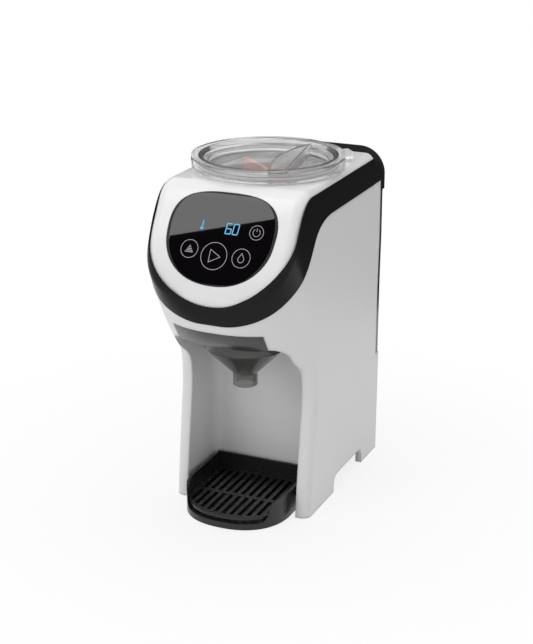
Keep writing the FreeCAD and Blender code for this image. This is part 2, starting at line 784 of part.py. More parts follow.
def dish_form(inset, low_z, high_z):
    """The round space of the lid's dish, smaller by inset."""
    profile = [(0, low_z), (dish_floor_radius - inset, low_z),
               (dish_shoulder_radius - inset, dish_shoulder_z),
               (dish_radius - inset, lid_top_z), (dish_radius - inset, high_z), (0, high_z)]
    points = [Vector(r, 0, z) for r, z in profile]
    return Part.Face(Part.makePolygon(points + points[:1])).revolve(Vector(0, 0, 0), Z_AXIS, 360)


def container_lid():
    """Clear lid: a stepped rim that drops over the flange, a deep dish and a hollow crescent grip."""
    step_z = lid_top_z - lid_step_depth
    profile = [(0, dish_z), (dish_floor_radius, dish_z), (dish_shoulder_radius, dish_shoulder_z),
               (dish_radius, lid_top_z), (lid_radius, lid_top_z), (lid_radius, step_z),
               (lid_radius - lid_step, step_z), (lid_radius - lid_step, lid_skirt_z),
               (flange_radius + seam, lid_skirt_z), (flange_radius + seam, lid_top_z - lid_wall),
               (dish_radius + lid_wall, lid_top_z - lid_wall),
               (dish_shoulder_radius + lid_wall, dish_shoulder_z - 1),
               (dish_floor_radius + lid_wall, dish_z - lid_wall), (0, dish_z - lid_wall)]
    points = [Vector(r, 0, z) for r, z in profile]
    lid = Part.Face(Part.makePolygon(points + points[:1])).revolve(Vector(0, 0, 0), Z_AXIS, 360)
    seal_outer_radius = seal_inner_radius + seal_width
    seat = tube(seal_outer_radius, seal_inner_radius, lid_top_z - lid_wall - seat_z - seal_height,
                0, 0, seat_z + seal_height)
    grip_top_z = lid_top_z - 0.6
    grip = grip_form(0, dish_z - 1, grip_top_z)
    grip = round_edges(grip, grip_edge_radius, lambda b: b.ZMin > grip_top_z - 0.1)
    grip = grip.common(dish_form(-lid_wall / 2, dish_z - 1, lid_top_z + 1))
    hollow = grip_form(lid_wall, dish_z - lid_wall - 1, grip_top_z - lid_wall)
    hollow = hollow.common(dish_form(lid_wall, dish_z - lid_wall - 1, lid_top_z + 1))
    tab = box(lid_radius - 3, lid_radius + tab_length, -tab_width / 2, tab_width / 2,
              lid_top_z - 9, lid_top_z - 2.5)
    tab = tab.rotated(Vector(0, 0, 0), Z_AXIS, tab_turn)
    tab = tab.cut(cylinder(lid_radius - 1, FAR, 0, 0, 0))
    return fuse([lid, seat, grip, tab]).cut(hollow)


def lid_seal():
    return tube(seal_inner_radius + seal_width, seal_inner_radius, seal_height, 0, 0, seat_z)


# ---------------------------------------------------------------- powder drive
def powder_deck():
    """Plate across the head that carries the gear bush, the chute and the nozzle."""
    deck = inner.common(box(-FAR, FAR, deck_front_y, dock_wall_y - seam, deck_z,
                            deck_z + deck_thickness))
    deck = deck.cut(cylinder(bush_radius, 20, 0, 0, deck_z - 5))
    deck = deck.cut(cylinder(outlet_radius + 2, 20, 0, -pocket_circle, deck_z - 5))
    for x, y in plate_posts:
        deck = deck.cut(cylinder(screw_radius, 20, x, y, deck_z - 5))
    return deck


def powder_chute():
    top = container_floor_z - seam
    chute = cylinder(outlet_radius + 2, top - chute_z, 0, -pocket_circle, chute_z)
    flange = cylinder(outlet_radius + 4, 1.5, 0, -pocket_circle, deck_z + deck_thickness)
    return chute.fuse(flange).cut(cylinder(outlet_radius + 0.5, 60, 0, -pocket_circle, chute_z - 1))


def gearbox_plate():
    half = gear_tip_radius + 2
    plate = box(-half, half, 1 - gear_tip_radius, motor_y + 22, plate_z, plate_z + plate_thickness)
    plate = round_edges(plate, 6, upright)
    posts = [cylinder(post_radius, deck_z - plate_z, x, y, plate_z) for x, y in plate_posts]
    plate = fuse([plate] + posts)
    plate = plate.cut(cylinder(bush_radius, 20, 0, 0, plate_z - 5))
    plate = plate.cut(cylinder(motor_shaft_radius + 4.5, 20, 0, motor_y, plate_z - 5))
    for x in (-motor_screw_x, motor_screw_x):
        plate = plate.cut(cylinder(screw_radius + 0.1, 20, x, motor_y, plate_z - 5))
        plate = plate.cut(cylinder(screw_head_radius + 0.1, 20, x, motor_y,
                                   plate_z + plate_thickness - screw_head_height))
    for x, y in plate_posts:
        plate = plate.cut(cylinder(screw_radius, 10, x, y, deck_z - 10))
    return plate


def drive_bushes():
    """Two plain bearings of the drive shaft, in the deck and in the gearbox plate."""
    upper = tube(bush_radius, drive_shaft_radius + shaft_clearance, deck_thickness + 0.8, 0, 0, deck_z)
    lower = tube(bush_radius, drive_shaft_radius + shaft_clearance, plate_thickness, 0, 0, plate_z)
    return Part.makeCompound([upper, lower])


def drive_shaft():
    shaft = cylinder(drive_shaft_radius, hex_z - axle_bottom_z, 0, 0, axle_bottom_z)
    collar = cylinder(drive_shaft_radius + 1.5, 1, 0, 0, gear_z + gear_thickness + 0.4)
    tip = hex_bar(drive_hex, hex_z, container_floor_z + hex_depth - 2 - hex_z)
    return fuse([shaft, collar, tip])


def drive_gear():
    wheel = gear(gear_teeth, gear_z, gear_thickness, drive_shaft_radius)
    circle = (drive_shaft_radius + gear_tip_radius) / 2 - 0.5
    for k in range(5):
        angle = 2 * math.pi * k / 5
        wheel = wheel.cut(cylinder(4, 20, circle * math.cos(angle), circle * math.sin(angle), gear_z - 5))
    return wheel


def motor_pinion():
    """Turned so that a tooth points into a gap of the drive gear."""
    pinion = gear(pinion_teeth, gear_z, gear_thickness + 0.4, motor_shaft_radius)
    turn = (270 + (90 * gear_teeth + 180) / pinion_teeth) % (360 / pinion_teeth)
    return pinion.rotated(Vector(0, 0, 0), Z_AXIS, turn).translated(Vector(0, motor_y, 0))


def motor_shaft():
    return cylinder(motor_shaft_radius, gear_z + gear_thickness - plate_z + 10, 0, motor_y, plate_z - 10)


def drive_motor():
    low = plate_z - motor_length
    can = cylinder(motor_radius, motor_length - 12, 0, motor_y, low)
    gearhead = cylinder(motor_radius + 1.5, 12, 0, motor_y, plate_z - 12)
    terminals = fuse([box(x - 2, x + 2, motor_y - 1, motor_y + 1, low - 5, low + 1) for x in (-7, 7)])
    motor = fuse([can, gearhead, terminals])
    motor = motor.cut(cylinder(motor_shaft_radius + shaft_clearance, 11, 0, motor_y, plate_z - 10.5))
    for x in (-motor_screw_x, motor_screw_x):
        motor = motor.cut(cylinder(screw_radius, 6, x, motor_y, plate_z - 6))
    return motor


def gearbox_screws():
    top = plate_z + plate_thickness - screw_head_height
    motor_screws = [screw(x, motor_y, top, 6, Z_AXIS * -1) for x in (-motor_screw_x, motor_screw_x)]
    deck_screws = [screw(x, y, deck_z + deck_thickness, 10, Z_AXIS * -1) for x, y in plate_posts]
    return Part.makeCompound(motor_screws + deck_screws)


# ---------------------------------------------------------------- funnel
def funnel_drawer():
    """Smoky drawer: a curved front, a bowl with a cone and spout, and two runners."""
    front = plan_form(0).cut(plan_form(-2.2)).common(
        box(-funnel_half_width, funnel_half_width, -FAR, funnel_y - 20, funnel_bottom_z, funnel_top_z))
    bridge = plan_form(-1).common(
        box(-funnel_half_width, funnel_half_width, -FAR, funnel_y, funnel_bottom_z, funnel_bottom_z + 2))
    cone_top_z = spout_top_z + funnel_radius - spout_radius
    bowl = cylinder(funnel_radius, funnel_top_z - 1.6 - cone_top_z, 0, funnel_y, cone_top_z)
    cone = Part.makeCone(spout_radius, funnel_radius, cone_top_z - spout_top_z,
                         Vector(0, funnel_y, spout_top_z))
    spout = cylinder(spout_radius, spout_top_z - spout_bottom_z, 0, funnel_y, spout_bottom_z)
    runner = box(-runner_half_width, runner_half_width, runner_front_y, runner_back_y,
                 rail_flange_z, rail_flange_z + rail_flange_thickness)
    runner = round_edges(runner, 5, upright)
    drawer = fuse([bridge, bowl, cone, spout, runner, front])
    slope = funnel_wall * (math.sqrt(2) - 1)
    drawer = drawer.cut(cylinder(funnel_radius - funnel_wall, 60, 0, funnel_y, cone_top_z + slope))
    drawer = drawer.cut(Part.makeCone(spout_radius - funnel_wall, funnel_radius - funnel_wall,
                                      cone_top_z - spout_top_z, Vector(0, funnel_y, spout_top_z + slope)))
    drawer = drawer.cut(cylinder(spout_radius - funnel_wall, 60, 0, funnel_y, spout_bottom_z - 1)
                        .common(box(-FAR, FAR, -FAR, FAR, 0, spout_top_z + slope)))
    return drawer.cut(cylinder(magnet_radius, 10, magnet_x, magnet_y, rail_flange_z + 1))


def funnel_magnet():
    return cylinder(magnet_radius, rail_flange_thickness - 1, magnet_x, magnet_y, rail_flange_z + 1)


def funnel_rails():
    """Left and right C channels that the funnel's runners slide in."""
    web_x = runner_half_width + seam
    lip_x = funnel_radius + 1.8
    low_z = bay_top_z + wall
    web = box(web_x, web_x + 3, runner_front_y, runner_back_y + 3, low_z, funnel_top_z + 0.1)
    lower = box(lip_x, web_x + 1, runner_front_y, runner_back_y + 3, rail_flange_z - seam - 3,
                rail_flange_z - seam)
    upper = lower.translated(Vector(0, 0, 3 + rail_flange_thickness + 2 * seam))
    stop = box(lip_x, web_x + 1, runner_back_y + seam, runner_back_y + 3, rail_flange_z - 2,
               rail_flange_z + rail_flange_thickness + 2)
    return Part.makeCompound(mirrored(fuse([web, lower, upper, stop])))


def funnel_sensor():
    board = box(magnet_x - 7, magnet_x + 7, slot_back_y + 0.5, slot_back_y + 8, bay_top_z + wall,
                bay_top_z + wall + 1.6)
    return board.fuse(box(magnet_x - 3, magnet_x + 3, slot_back_y + 1, slot_back_y + 3,
                          bay_top_z + wall + 1.6, rail_flange_z + 3))


# ---------------------------------------------------------------- drip tray
def drip_tray():
    tray = tray_prism(0, floor_gap, tray_side_height)
    tray = tray.cut(tray_prism(tray_wall, floor_gap + 1.8, FAR))
    ledge = tray_prism(tray_wall - 0.2, floor_gap + 1, grille_z - seam).cut(
        tray_prism(tray_wall + 1.6, floor_gap + 1, grille_z))
    flange = box(tray_half_width - 1, bay_half_width - 1, guide_front_y, guide_back_y,
                 guide_z + seam, guide_z + seam + 1.8)
    tray = fuse([tray, ledge] + mirrored(flange))
    lip_half = tray_half_width - 13
    rise_half = tray_half_width - 3
    rise = tray_side_height - tray_lip_height
    curve = spline([Vector(lip_half + (rise_half - lip_half) * along, 0, tray_lip_height + rise * up)
                    for along, up in ((0, 0), (0.3, 0.14), (0.5, 0.5), (0.7, 0.86), (1, 1))])
    curve_left = curve.mirror(Vector(0, 0, 0), X_AXIS)
    top = tray_side_height + 10
    notch = Part.Face(Part.Wire(Part.__sortEdges__([
        curve, curve_left,
        Part.makeLine(Vector(-lip_half, 0, tray_lip_height), Vector(lip_half, 0, tray_lip_height)),
        Part.makeLine(Vector(rise_half, 0, tray_side_height), Vector(rise_half, 0, top)),
        Part.makeLine(Vector(rise_half, 0, top), Vector(-rise_half, 0, top)),
        Part.makeLine(Vector(-rise_half, 0, top), Vector(-rise_half, 0, tray_side_height))])))
    notch = notch.extrude(Vector(0, -FAR, 0)).translated(Vector(0, tray_round_y - 10, 0))
    return tray.cut(notch)


def drip_grille():
    plate = tray_prism(tray_wall + seam, grille_z, grille_z + grille_thickness)
    last = int((tray_half_width - 8) / slot_pitch)
    for k in range(-last, last + 1):
        x = k * slot_pitch
        half = slot_half_width
        reach = tray_round_depth * (1 - (abs(x) / tray_half_width) ** tray_roundness) ** (1 / tray_roundness)
        slot = box(x - half, x + half, tray_round_y - reach + 8, tray_round_y - 4, 0, FAR)
        back_slot = box(x - half, x + half, tray_round_y, tray_back_y - 8, 0, FAR)
        plate = plate.cut(slot).cut(back_slot)
    return plate


# ---------------------------------------------------------------- water
def tank_dock():
    """Dark inner wall and shelf that the water tank stands on, with the valve cup."""
    dock_wall = inner.common(box(-FAR, FAR, dock_wall_y, fascia_back_y - seam, shelf_z - wall, FAR))
    dock_wall = dock_wall.cut(trim_outer.cut(inner))
    shelf = box(-well_half_width + 0.1, well_half_width - 0.1, dock_wall_y, body_back_y, shelf_z - wall,
                shelf_z)
    cup = cylinder(cup_radius + 2, shelf_z - wall - cup_z + 2, valve_x, valve_y, cup_z - 2)
    dock = fuse([dock_wall, shelf, cup])
    dock = dock.cut(cylinder(cup_radius, 40, valve_x, valve_y, cup_z))
    pin = cylinder(1.2, stem_bottom_z - seam - cup_z + 1, valve_x, valve_y, cup_z - 1)
    nipple = cylinder(nipple_radius, 9, cup_port_x, valve_y, cup_z - 10)
    dock = fuse([dock, pin, nipple])
    return dock.cut(cylinder(nipple_radius - 0.7, 14, cup_port_x, valve_y, cup_z - 11))


def dock_seal():
    return Part.makeTorus(cup_radius - 0.65, 0.55, Vector(valve_x, valve_y, shelf_z - 4))


def water_tank():
    """Smoky tank: a slim body between the side walls and a full width back."""
    gap = seam
    low = shelf_z + gap
    slim = box(-tank_half_width, tank_half_width, tank_front_y, side_wall_back_y + 1, low,
               tank_lid_seam_z - 1)
    back = plan_form(-0.2).common(box(-FAR, FAR, side_wall_back_y + gap, body_back_y, low,
                                      tank_lid_seam_z - 1))
    back = round_edges(back, tank_edge_radius, lambda b: upright(b) and b.YMin > body_back_y - 2)
    neck = box(-neck_half_width, neck_half_width, tank_front_y + 1, neck_back_y,
               tank_lid_seam_z - 1.5, tank_rim_z)
    slim_in = box(-tank_half_width + tank_wall, tank_half_width - tank_wall, tank_front_y + tank_wall,
                  side_wall_back_y + 1, low + tank_wall, tank_lid_seam_z - 1 - tank_wall)
    back_in = box(-tank_half_width + tank_wall, tank_half_width - tank_wall, side_wall_back_y,
                  body_back_y - tank_wall - 0.2, low + tank_wall, tank_lid_seam_z - 1 - tank_wall)
    neck_in = box(-neck_half_width + tank_wall, neck_half_width - tank_wall,
                  tank_front_y + 1 + tank_wall, neck_back_y - tank_wall, tank_lid_seam_z - 5, FAR)
    nozzle = cylinder(nozzle_radius, low - nozzle_z + 1, valve_x, valve_y, nozzle_z)
    tank = fuse([slim, back, neck, nozzle]).cut(fuse([slim_in, back_in, neck_in]))
    return tank.cut(cylinder(nozzle_bore, 20, valve_x, valve_y, nozzle_z - 1))


def tank_lid():
    """Black cap over the tank's neck; it closes the trim across the back of the crown."""
    outside = cap_form(0)
    outside = round_edges(outside, cap_edge_radius,
                          lambda b: b.YMin > body_back_y and b.ZMax > top_z - cap_back_radius - 1)
    solid = outside.common(fuse([
        box(-FAR, FAR, fascia_back_y + seam, FAR, top_z - trim_edge_points[0][1] + seam, FAR),
        box(-FAR, FAR, side_wall_back_y + seam, FAR, tank_lid_seam_z, FAR)]))
    lid = solid.cut(cap_form(cap_wall))
    rib = box(-neck_half_width + 6, neck_half_width - 6, fascia_back_y + 3.5, fascia_back_y + 6,
              tank_rim_z + seam, top_z - 1.5)
    back_rib = box(-neck_half_width + 6, neck_half_width - 6, neck_back_y - 4, neck_back_y - 1.5,
                   tank_rim_z + seam, top_z - 1.8)
    return fuse([lid, rib.common(outside), back_rib.common(outside)])


def tank_valve():
    stem = cylinder(1.5, valve_disc_z - stem_bottom_z, valve_x, valve_y, stem_bottom_z)
    disc = cylinder(valve_disc_radius, 2, valve_x, valve_y, valve_disc_z)
    return fuse([stem, disc, cylinder(1.8, 6, valve_x, valve_y, valve_disc_z + 1)])


def valve_spring():
    height = cage_top_z - valve_disc_z - 2 - 2 * spring_wire
    helix = Part.makeHelix(height / 5, height, 4.0)
    ring = Part.Wire(Part.makeCircle(spring_wire, Vector(4.0, 0, 0), Vector(0, 1, 0.3)))
    coil = Part.Wire(helix.Edges).makePipeShell([ring], True, True)
    return coil.translated(Vector(valve_x, valve_y, valve_disc_z + 2 + spring_wire))


def valve_cage():
    """Strainer cage that holds the valve's spring on the tank's floor."""
    low = shelf_z + seam + tank_wall
    cage = tube(cage_radius, cage_radius - 1.2, cage_top_z + 1.5 - low, valve_x, valve_y, low)
    cage = cage.fuse(cylinder(cage_radius, 1.5, valve_x, valve_y, cage_top_z))
    for k in range(3):
        window = box(-20, 20, -2, 2, low + 3, cage_top_z - 2).rotated(Vector(0, 0, 0), Z_AXIS, 60 * k)
        cage = cage.cut(window.translated(Vector(valve_x, valve_y, 0)))
    return cage.cut(cylinder(2.2, 20, valve_x, valve_y, cage_top_z - 5))


def water_pump():
    head = box(pump_x, pump_x + 22, pump_y - pump_head, pump_y + pump_head, pump_z - pump_head,
               pump_z + pump_head)
    head = head.makeFillet(2, head.Edges)
    can = cylinder(pump_radius, 34, pump_x - 32, pump_y, pump_z, X_AXIS)
    inlet_port = cylinder(nipple_radius, 9, pump_x + 20, pump_y - 6, pump_z, X_AXIS)
    outlet_port = cylinder(nipple_radius, 9, pump_x + 11, pump_y, pump_z + pump_head - 2)
    pump = fuse([head, can, inlet_port, outlet_port])
    pump = pump.cut(cylinder(nipple_radius - 0.7, 12, pump_x + 18, pump_y - 6, pump_z, X_AXIS))
    return pump.cut(cylinder(nipple_radius - 0.7, 12, pump_x + 11, pump_y, pump_z + pump_head - 4))


def pump_cradle():
    cradle = box(pump_x - 28, pump_x - 4, pump_y - pump_radius - 2, pump_y + pump_radius + 2, base_top_z,
                 pump_z)
    return cradle.cut(cylinder(pump_radius, 60, pump_x - 50, pump_y, pump_z, X_AXIS)).common(
        box(-FAR, FAR, -FAR, FAR, 0, pump_z - 4))


def water_heater():
    block = box(heater_x - heater_half_width, heater_x + heater_half_width, heater_y - heater_half_depth,
                heater_y + heater_half_depth, heater_z, heater_top_z)
    block = round_edges(block, 5, upright)
    for x in heater_ports:
        block = block.fuse(cylinder(nipple_radius, 10, x, heater_y, heater_top_z - 1))
    for x in heater_ports:
        block = block.cut(cylinder(nipple_radius - 0.7, heater_height + 4, x, heater_y, heater_z + 6))
    block = block.cut(cylinder(0.9, heater_ports[1] - heater_ports[0], heater_ports[0], heater_y,
                               heater_z + 8, X_AXIS))
    return block.cut(cylinder(element_radius, heater_height - 6, heater_x, heater_y, heater_z + 10))


def heater_element():
    rod = cylinder(element_radius - 0.05, heater_height - 6, heater_x, heater_y, heater_z + 10.2)
    terminals = [box(heater_x - 1, heater_x + 1, heater_y + y - 0.5, heater_y + y + 0.5,
                     heater_top_z, heater_top_z + 10) for y in (-1.8, 1.8)]
    return fuse([rod] + terminals)


def heater_bracket():
    half = heater_half_width
    bracket = box(heater_x - half - 2, heater_x + half + 2, heater_y - heater_half_depth - 1,
                  heater_y + heater_half_depth + 1, base_top_z, heater_z)
    return bracket.cut(box(heater_x - half, heater_x + half, -FAR, FAR, base_top_z - 1, heater_z - 2))


def temperature_sensor():
    return cylinder(2.5, 8, heater_x + 6, heater_y - heater_half_depth - 8, heater_top_z - 12, Y_AXIS)


def thermal_cutout():
    front_y = heater_y - heater_half_depth - 4
    body = cylinder(6, 4, heater_x - 4, front_y, heater_z + 30, Y_AXIS)
    return body.fuse(box(heater_x - 12, heater_x + 4, front_y - 0.8, front_y, heater_z + 28, heater_z + 32))


def water_nozzle():
    nozzle = cylinder(5, deck_z - chute_z, nozzle_x, funnel_y, chute_z)
    side = cylinder(nipple_radius, 11, nozzle_x + 3, funnel_y, hose_level_z, X_AXIS)
    nozzle = nozzle.fuse(side)
    nozzle = nozzle.cut(cylinder(2, hose_level_z - chute_z + 2, nozzle_x, funnel_y, chute_z - 1))
    return nozzle.cut(cylinder(nipple_radius - 0.7, 16, nozzle_x, funnel_y, hose_level_z, X_AXIS))


def inlet_hose():
    start_z = cup_z - 4
    return hose([(cup_port_x, valve_y, start_z), (cup_port_x, valve_y, pump_z),
                 (cup_port_x, pump_y - 6, pump_z), (pump_x + 23, pump_y - 6, pump_z)],
                8, hose_radius, nipple_radius)


def pump_hose():
    level = heater_top_z + 22
    return hose([(pump_x + 11, pump_y, pump_z + pump_head + 1), (pump_x + 11, pump_y, level),
                 (heater_ports[0], heater_y, level), (heater_ports[0], heater_y, heater_top_z + 3)],
                8, hose_radius, nipple_radius)


def nozzle_hose():
    return hose([(heater_ports[1], heater_y, heater_top_z + 3), (heater_ports[1], heater_y, hose_level_z),
                 (heater_ports[1], funnel_y, hose_level_z), (nozzle_x + 6, funnel_y, hose_level_z)],
                9, hose_radius, nipple_radius)


# ---------------------------------------------------------------- electrics
def power_inlet():
    """Mains socket in the back wall, with a recess and two pins."""
    body = box(inlet_x - inlet_half_width, inlet_x + inlet_half_width, body_back_y - 16.6, body_back_y,
               inlet_z, inlet_z + inlet_height)
    flange = box(inlet_x - inlet_half_width - 3, inlet_x + inlet_half_width + 3, body_back_y - wall - 2.2,
                 body_back_y - wall - 0.1, inlet_z - 3, inlet_z + inlet_height + 3)
    middle = inlet_z + inlet_height / 2
    recess = fuse([cylinder(4.2, 13, inlet_x + x, body_back_y - 12, middle, Y_AXIS) for x in (-4.2, 4.2)]
                  + [box(inlet_x - 4.2, inlet_x + 4.2, body_back_y - 12, FAR, middle - 3, middle + 3)])
    pins = [cylinder(1.2, 9, inlet_x + x, body_back_y - 13, middle, Y_AXIS) for x in (-4.2, 4.2)]
    return fuse([body.fuse(flange).cut(recess)] + pins)


def power_supply():
    """Power board on the left wall with its transformer, capacitors and heat sink."""
    face_x = -board_x + board_thickness
    front, back, low = board_front_y, board_back_y, board_low_z
    board = box(-board_x, face_x, front, back, low, low + power_board_height)
    transformer = box(face_x, face_x + 20, back - 34, back - 10, low + 6, low + 32)
    choke = box(face_x, face_x + 12, front + 4, front + 18, low + 44, low + 62)
    capacitors = [cylinder(5.5, 16, face_x, back - y, low + 46, X_AXIS) for y in (34, 20)]
    sink = box(face_x, face_x + 14, front + 6, front + 8, low + 6, low + 36)
    return fuse([board, transformer, choke, sink] + capacitors)


def main_board():
    """Control board on the right wall with its relay, chips and plugs."""
    face_x = board_x - board_thickness
    front, back, low = board_front_y, board_back_y, board_low_z
    board = box(face_x, board_x, front, back, low, low + main_board_height)
    relay = box(face_x - 6, face_x, back - 26, back - 10, low + 64, low + 78)
    chip = box(face_x - 1.6, face_x, front + 18, front + 30, low + 58, low + 70)
    plugs = [box(face_x - 5, face_x, front + y, front + y + 10, low + 80, low + 86) for y in (6, 22, 38)]
    return fuse([board, relay, chip] + plugs)


def board_standoffs():
    posts = []
    for side, height in ((-1, power_board_height), (1, main_board_height)):
        for y in (board_front_y + 6, board_back_y - 6):
            for z in (board_low_z + 6, board_low_z + height - 8):
                post = cylinder(3, 8, side * board_x, y, z, X_AXIS * side)
                posts.append(post.common(inner))
    return Part.makeCompound(posts)


for piece in (main_housing, trim_band, top_fascia, base_plate, rubber_feet, base_screws,
              display_module, touch_board, powder_container, outlet_guard, dosing_wheel, stirrer,
              container_lid, lid_seal, powder_deck, powder_chute, gearbox_plate, drive_bushes,
              drive_shaft, drive_gear, motor_pinion, motor_shaft, drive_motor, gearbox_screws,
              funnel_drawer, funnel_magnet, funnel_rails, funnel_sensor, drip_tray, drip_grille,
              tank_dock, dock_seal, water_tank, tank_lid, tank_valve, valve_spring, valve_cage,
              water_pump, pump_cradle, water_heater, heater_element, heater_bracket,
              temperature_sensor, thermal_cutout, water_nozzle, inlet_hose, pump_hose, nozzle_hose,
              power_inlet, power_supply, main_board, board_standoffs):
    parts[piece.__name__] = piece()
parts["control_glass"] = outer.common(panel_prism(0, panel_thickness, 20))

if __name__ == "__main__":
    os.makedirs("parts", exist_ok=True)
    for name, shape in parts.items():
        print(name, shape.isValid(), len(shape.Solids), round(shape.Volume))
        shape.translated(Vector(0, -middle_y, 0)).exportStep(f"parts/{name}.step")
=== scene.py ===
import json
import math

import bmesh
import bpy
import numpy as np
from mathutils import Matrix, Vector
from mathutils.bvhtree import BVHTree


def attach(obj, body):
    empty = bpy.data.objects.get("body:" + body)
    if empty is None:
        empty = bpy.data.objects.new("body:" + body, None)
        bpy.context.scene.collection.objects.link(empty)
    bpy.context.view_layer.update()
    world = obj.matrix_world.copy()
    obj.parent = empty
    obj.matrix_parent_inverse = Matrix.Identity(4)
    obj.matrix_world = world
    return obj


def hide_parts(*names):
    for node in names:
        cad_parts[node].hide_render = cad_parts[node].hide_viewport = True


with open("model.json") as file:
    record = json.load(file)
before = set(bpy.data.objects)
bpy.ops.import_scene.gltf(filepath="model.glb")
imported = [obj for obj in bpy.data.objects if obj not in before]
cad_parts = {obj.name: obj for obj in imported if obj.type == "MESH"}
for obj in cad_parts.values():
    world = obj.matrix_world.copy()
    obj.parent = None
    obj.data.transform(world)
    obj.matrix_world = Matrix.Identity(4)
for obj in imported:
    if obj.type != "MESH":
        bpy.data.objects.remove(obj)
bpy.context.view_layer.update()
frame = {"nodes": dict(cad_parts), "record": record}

MM = 0.001
nodes = frame["nodes"]
scene = bpy.context.scene


def add_object(name, data):
    """A new object in the scene."""
    added = bpy.data.objects.new(name, data)
    scene.collection.objects.link(added)
    return added


# ---------------------------------------------------------------- camera
CAMERA_AZIMUTH = math.radians(23.958)
CAMERA_ELEVATION = math.radians(19.617)
CAMERA_PLACE = Vector((0.5334, -1.1991, 0.6265))

back = Vector((math.sin(CAMERA_AZIMUTH) * math.cos(CAMERA_ELEVATION),
               -math.cos(CAMERA_AZIMUTH) * math.cos(CAMERA_ELEVATION),
               math.sin(CAMERA_ELEVATION)))
right = Vector((math.cos(CAMERA_AZIMUTH), math.sin(CAMERA_AZIMUTH), 0))
up = back.cross(right)
camera = add_object("camera", bpy.data.cameras.new("camera"))
camera.data.sensor_width = 36
camera.data.lens = 86.88
camera.data.clip_start = 0.05
camera.matrix_world = Matrix.Translation(CAMERA_PLACE) @ Matrix((right, up, back)).transposed().to_4x4()
scene.camera = camera


# ---------------------------------------------------------------- materials
BUMP_STRENGTH = 0.35
COAT_ROUGHNESS = 0.05
PATCH_SCALE = 24.0      # of the faint changes of colour
HAZE_SCALE = 60.0       # of the changes of gloss


def plastic(name, color, roughness, grain=900.0, grain_height=0.02, mottle=0.03, specular=0.5,
            transmission=0.0, ior=1.49, metallic=0.0, coat=0.0, smudge=0.04, round_mm=0.4,
            stretch=(1, 1, 1)):
    """Moulded plastic, rubber or metal: soft edges, fine grain, faint mottling and uneven gloss."""
    material = bpy.data.materials.new(name)
    material.use_nodes = True
    tree = material.node_tree
    sockets = tree.nodes["Principled BSDF"].inputs
    sockets["Metallic"].default_value = metallic
    sockets["IOR"].default_value = ior
    sockets["Specular IOR Level"].default_value = specular
    sockets["Transmission Weight"].default_value = transmission
    sockets["Coat Weight"].default_value = coat
    sockets["Coat Roughness"].default_value = COAT_ROUGHNESS
    place = tree.nodes.new("ShaderNodeTexCoord")
    mapping = tree.nodes.new("ShaderNodeMapping")
    mapping.inputs["Scale"].default_value = stretch
    tree.links.new(place.outputs["Object"], mapping.inputs["Vector"])

    def noise(scale, detail):
        node = tree.nodes.new("ShaderNodeTexNoise")
        node.inputs["Scale"].default_value = scale
        node.inputs["Detail"].default_value = detail
        tree.links.new(mapping.outputs["Vector"], node.inputs["Vector"])
        return node

    fine = noise(grain, 3.0)
    bump = tree.nodes.new("ShaderNodeBump")
    bump.inputs["Strength"].default_value = BUMP_STRENGTH
    bump.inputs["Distance"].default_value = grain_height * MM
    tree.links.new(fine.outputs["Fac"], bump.inputs["Height"])
    tree.links.new(bump.outputs["Normal"], sockets["Normal"])
    if round_mm:
        edge = tree.nodes.new("ShaderNodeBevel")
        edge.inputs["Radius"].default_value = round_mm * MM
        tree.links.new(edge.outputs["Normal"], bump.inputs["Normal"])

    patches = noise(PATCH_SCALE, 4.0)
    tint = tree.nodes.new("ShaderNodeMix")
    tint.data_type = "RGBA"
    darker = [channel * (1 - mottle) for channel in color]
    lighter = [min(1, channel * (1 + mottle / 2)) for channel in color]
    tint.inputs[6].default_value = (*darker, 1)
    tint.inputs[7].default_value = (*lighter, 1)
    tree.links.new(patches.outputs["Fac"], tint.inputs["Factor"])
    tree.links.new(tint.outputs[2], sockets["Base Color"])

    gloss = tree.nodes.new("ShaderNodeMapRange")
    gloss.inputs["To Min"].default_value = max(0.0, roughness - smudge)
    gloss.inputs["To Max"].default_value = roughness + smudge
    haze = noise(HAZE_SCALE, 3.0)
    tree.links.new(haze.outputs["Fac"], gloss.inputs["Value"])
    tree.links.new(gloss.outputs["Result"], sockets["Roughness"])
    return material


def lit(material, color, strength):
    """The material, glowing with a colour of its own."""
    sockets = material.node_tree.nodes["Principled BSDF"].inputs
    sockets["Emission Color"].default_value = (*color, 1)
    sockets["Emission Strength"].default_value = strength
    return material


